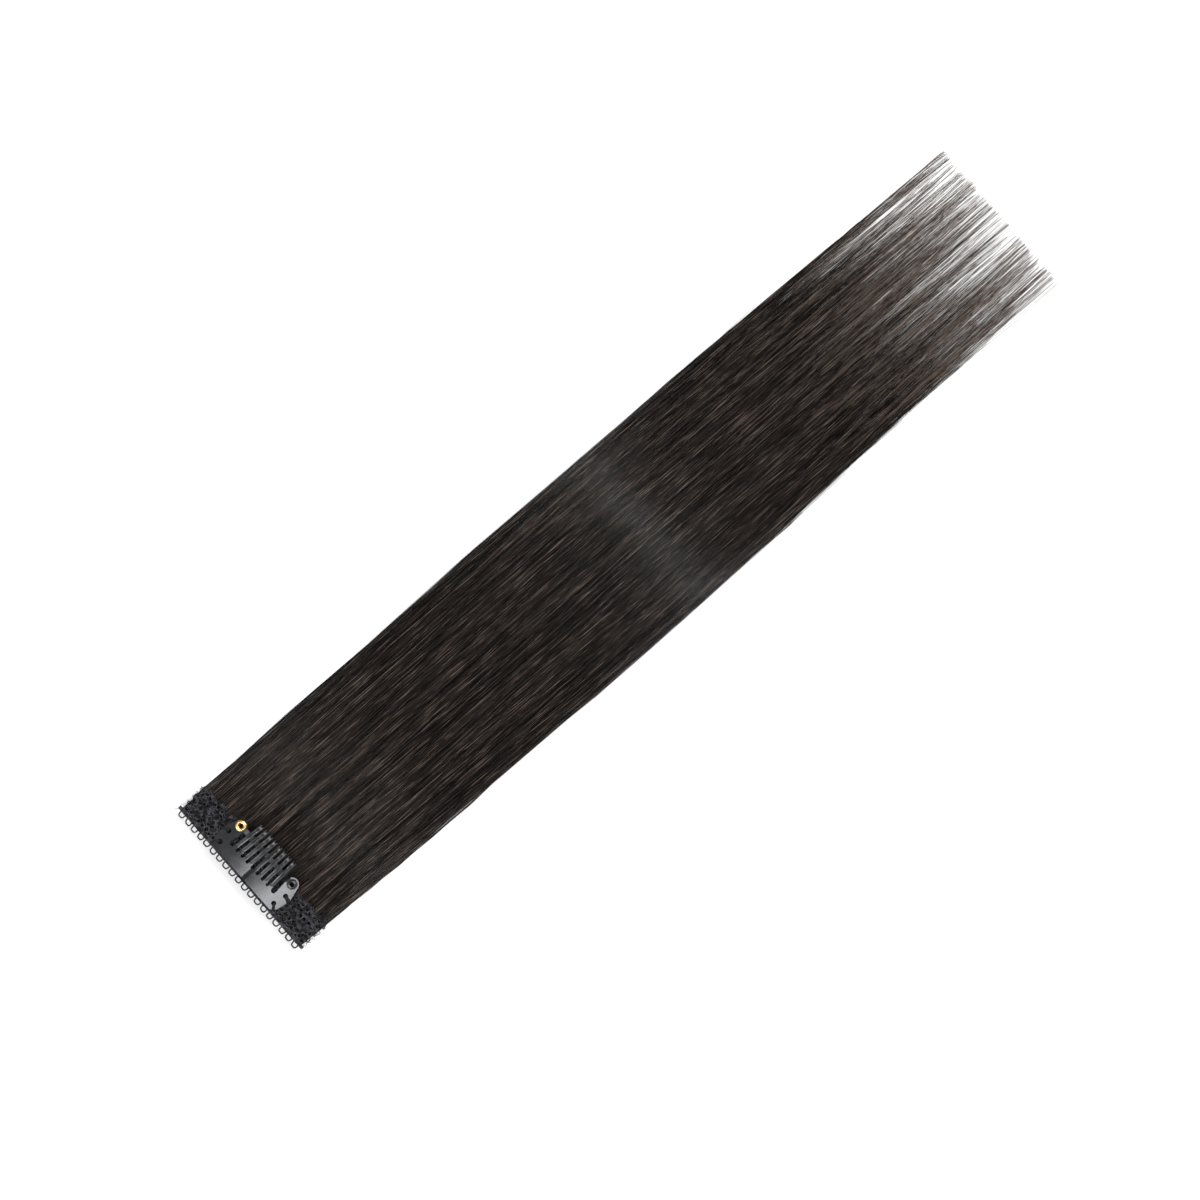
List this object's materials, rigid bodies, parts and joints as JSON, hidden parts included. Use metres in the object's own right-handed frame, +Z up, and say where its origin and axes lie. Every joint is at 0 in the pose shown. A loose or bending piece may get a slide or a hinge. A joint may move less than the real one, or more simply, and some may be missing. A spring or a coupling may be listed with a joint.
{
  "type": "clip in hair extension weft",
  "caption": "Straight dark hair weft sewn under a black lace band, with a sewn-on snap comb clip that fastens it to the wearer's hair.",
  "frame": {"origin": "middle of the weft's flat underside, under the middle of the lace, on the surface that the piece lies on", "axes": "+X along the weft from the brass eyelet to the black one, +Y from the weft towards the tips of the hair, +Z up, out of the clip's side"},
  "size_m": [0.062, 0.3244, 0.0059],
  "materials": {
    "hair": "straight fibre with a soft sheen",
    "lace": "matt thread",
    "black_steel": "satin black lacquer",
    "brass": "polished"
  },
  "bodies": {
    "root": {"hair_locks": "hair", "lace_band": "lace", "comb_plate": "black_steel", "snap_bar": "black_steel", "eyelet_brass": "brass", "eyelet_black": "black_steel"}
  },
  "joints": []
}
